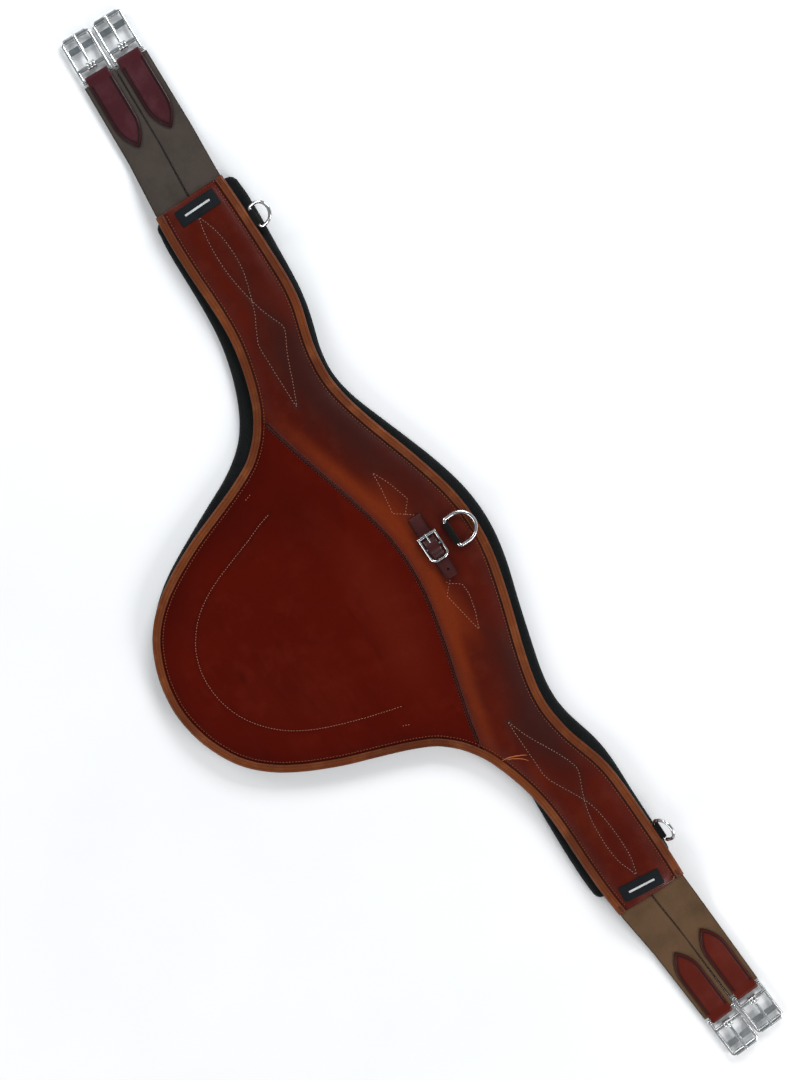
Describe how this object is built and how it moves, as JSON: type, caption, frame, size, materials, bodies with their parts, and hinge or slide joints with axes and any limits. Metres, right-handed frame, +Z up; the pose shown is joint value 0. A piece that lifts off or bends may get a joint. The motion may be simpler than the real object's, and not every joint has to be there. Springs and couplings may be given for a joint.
{
  "type": "saddle girth",
  "caption": "Padded leather saddle girth with a wide belly guard, elastic ends with roller buckles, dee rings, a buckled loop strap and a removable foam liner.",
  "frame": {"origin": "centre of the whole girth's plan box, on the surface it lies on", "axes": "+X along the girth from the left buckles to the right buckles, +Y towards the front edge and away from the belly guard, +Z up through the leather side"},
  "size_m": [1.2754, 0.3844, 0.0314],
  "materials": {
    "band_leather": "glossy, worn",
    "panel_leather": "satin",
    "tan_binding": "satin, worn edges",
    "welt_leather": "satin",
    "lining_leather": "matte",
    "dark_strap": "satin",
    "chape_left": "satin, stitched edge",
    "chape_right": "satin, stitched edge",
    "elastic_left": "ribbed woven elastic",
    "elastic_right": "ribbed woven elastic",
    "liner_knit": "matte knit",
    "foam": "matte foam",
    "loop_tape": "looped pile",
    "hook_tape": "hooked tape",
    "black_webbing": "woven",
    "woven_label": "fine weave",
    "steel": "polished stainless",
    "thread": "waxed thread"
  },
  "bodies": {
    "liner": {"liner_cover": "liner_knit", "liner_foam": "foam", "loop_strips": "loop_tape"},
    "girth_body": {"inner_lining": "lining_leather", "hook_strips": "hook_tape", "web_core": "black_webbing", "band_padding": "foam", "band_leather": "band_leather", "belly_panel": "panel_leather", "edge_binding": "tan_binding", "seam_welt": "welt_leather", "end_label_left": "woven_label", "end_label_right": "woven_label", "side_dee_loop_left": "black_webbing", "side_dee_loop_right": "black_webbing", "centre_dee_loop": "black_webbing", "loop_strap": "dark_strap", "loop_strap_chape": "dark_strap", "small_buckle_frame": "steel", "elastic_left_front": "elastic_left", "elastic_left_rear": "elastic_left", "elastic_right_front": "elastic_right", "elastic_right_rear": "elastic_right"},
    "side_dee_left": {"side_dee_left": "steel"},
    "side_dee_right": {"side_dee_right": "steel"},
    "centre_dee": {"centre_dee": "steel"},
    "small_roller": {"small_buckle_roller": "steel"},
    "small_tongue": {"small_buckle_tongue": "steel"},
    "strap_end_left_front": {"chape_left_front": "chape_left"},
    "buckle_left_front": {"buckle_frame_left_front": "steel"},
    "roller_left_front": {"buckle_roller_left_front": "steel"},
    "tongue_left_front": {"buckle_tongue_left_front": "steel"},
    "strap_end_left_rear": {"chape_left_rear": "chape_left"},
    "buckle_left_rear": {"buckle_frame_left_rear": "steel"},
    "roller_left_rear": {"buckle_roller_left_rear": "steel"},
    "tongue_left_rear": {"buckle_tongue_left_rear": "steel"},
    "strap_end_right_front": {"chape_right_front": "chape_right"},
    "buckle_right_front": {"buckle_frame_right_front": "steel"},
    "roller_right_front": {"buckle_roller_right_front": "steel"},
    "tongue_right_front": {"buckle_tongue_right_front": "steel"},
    "strap_end_right_rear": {"chape_right_rear": "chape_right"},
    "buckle_right_rear": {"buckle_frame_right_rear": "steel"},
    "roller_right_rear": {"buckle_roller_right_rear": "steel"},
    "tongue_right_rear": {"buckle_tongue_right_rear": "steel"}
  },
  "joints": [
    {"name": "liner_release", "type": "slide", "parent": "liner", "child": "girth_body", "axis": [0, 0, 1], "range_m": [0, 0.12]},
    {"name": "side_dee_left_hinge", "type": "hinge", "parent": "girth_body", "child": "side_dee_left", "pos_m": [-0.38004, 0.16294, 0.0136], "axis": [1, 0, 0], "range_deg": [-33, 75]},
    {"name": "side_dee_right_hinge", "type": "hinge", "parent": "girth_body", "child": "side_dee_right", "pos_m": [0.38386, 0.16274, 0.0136], "axis": [1, 0, 0], "range_deg": [-58, 50]},
    {"name": "centre_dee_hinge", "type": "hinge", "parent": "girth_body", "child": "centre_dee", "pos_m": [0.00086, 0.15264, 0.02256], "axis": [1, 0, 0], "range_deg": [0, 120]},
    {"name": "small_roller_spin", "type": "hinge", "parent": "girth_body", "child": "small_roller", "pos_m": [-0.01164, 0.12964, 0.0246], "axis": [0, 1, 0], "continuous": true},
    {"name": "small_tongue_hinge", "type": "hinge", "parent": "girth_body", "child": "small_tongue", "pos_m": [0.00186, 0.12964, 0.024], "axis": [0, 1, 0], "range_deg": [0, 6]},
    {"name": "elastic_stretch_left_front", "type": "slide", "parent": "girth_body", "child": "strap_end_left_front", "axis": [-0.999, 0.0454, 0], "range_m": [0, 0.04], "stiffness_N_per_m": 2500, "deforming": ["elastic_left_front"]},
    {"name": "buckle_hinge_left_front", "type": "hinge", "parent": "strap_end_left_front", "child": "buckle_left_front", "pos_m": [-0.58774, 0.14654, 0.0046], "axis": [0.0454, 0.999, 0], "range_deg": [-45, 60]},
    {"name": "roller_spin_left_front", "type": "hinge", "parent": "buckle_left_front", "child": "roller_left_front", "pos_m": [-0.63229, 0.14856, 0.0046], "axis": [0.0454, 0.999, 0], "continuous": true},
    {"name": "tongue_hinge_left_front", "type": "hinge", "parent": "buckle_left_front", "child": "tongue_left_front", "pos_m": [-0.59973, 0.14708, 0.0046], "axis": [0.0454, 0.999, 0], "range_deg": [0, 110]},
    {"name": "elastic_stretch_left_rear", "type": "slide", "parent": "girth_body", "child": "strap_end_left_rear", "axis": [-0.9987, 0.0506, 0], "range_m": [0, 0.04], "stiffness_N_per_m": 2500, "deforming": ["elastic_left_rear"]},
    {"name": "buckle_hinge_left_rear", "type": "hinge", "parent": "strap_end_left_rear", "child": "buckle_left_rear", "pos_m": [-0.58954, 0.10904, 0.0046], "axis": [0.0506, 0.9987, 0], "range_deg": [-45, 60]},
    {"name": "roller_spin_left_rear", "type": "hinge", "parent": "buckle_left_rear", "child": "roller_left_rear", "pos_m": [-0.63408, 0.1113, 0.0046], "axis": [0.0506, 0.9987, 0], "continuous": true},
    {"name": "tongue_hinge_left_rear", "type": "hinge", "parent": "buckle_left_rear", "child": "tongue_left_rear", "pos_m": [-0.60152, 0.10965, 0.0046], "axis": [0.0506, 0.9987, 0], "range_deg": [0, 110]},
    {"name": "elastic_stretch_right_front", "type": "slide", "parent": "girth_body", "child": "strap_end_right_front", "axis": [0.9986, 0.0523, 0], "range_m": [0, 0.04], "stiffness_N_per_m": 2500, "deforming": ["elastic_right_front"]},
    {"name": "buckle_hinge_right_front", "type": "hinge", "parent": "strap_end_right_front", "child": "buckle_right_front", "pos_m": [0.58286, 0.14554, 0.0046], "axis": [0.0523, -0.9986, 0], "range_deg": [-45, 60]},
    {"name": "roller_spin_right_front", "type": "hinge", "parent": "buckle_right_front", "child": "roller_right_front", "pos_m": [0.6274, 0.14787, 0.0046], "axis": [0.0523, -0.9986, 0], "continuous": true},
    {"name": "tongue_hinge_right_front", "type": "hinge", "parent": "buckle_right_front", "child": "tongue_right_front", "pos_m": [0.59484, 0.14617, 0.0046], "axis": [0.0523, -0.9986, 0], "range_deg": [0, 110]},
    {"name": "elastic_stretch_right_rear", "type": "slide", "parent": "girth_body", "child": "strap_end_right_rear", "axis": [0.9982, 0.0593, 0], "range_m": [0, 0.04], "stiffness_N_per_m": 2500, "deforming": ["elastic_right_rear"]},
    {"name": "buckle_hinge_right_rear", "type": "hinge", "parent": "strap_end_right_rear", "child": "buckle_right_rear", "pos_m": [0.58946, 0.10934, 0.0046], "axis": [0.0593, -0.9982, 0], "range_deg": [-45, 60]},
    {"name": "roller_spin_right_rear", "type": "hinge", "parent": "buckle_right_rear", "child": "roller_right_rear", "pos_m": [0.63398, 0.11199, 0.0046], "axis": [0.0593, -0.9982, 0], "continuous": true},
    {"name": "tongue_hinge_right_rear", "type": "hinge", "parent": "buckle_right_rear", "child": "tongue_right_rear", "pos_m": [0.60144, 0.11005, 0.0046], "axis": [0.0593, -0.9982, 0], "range_deg": [0, 110]}
  ]
}
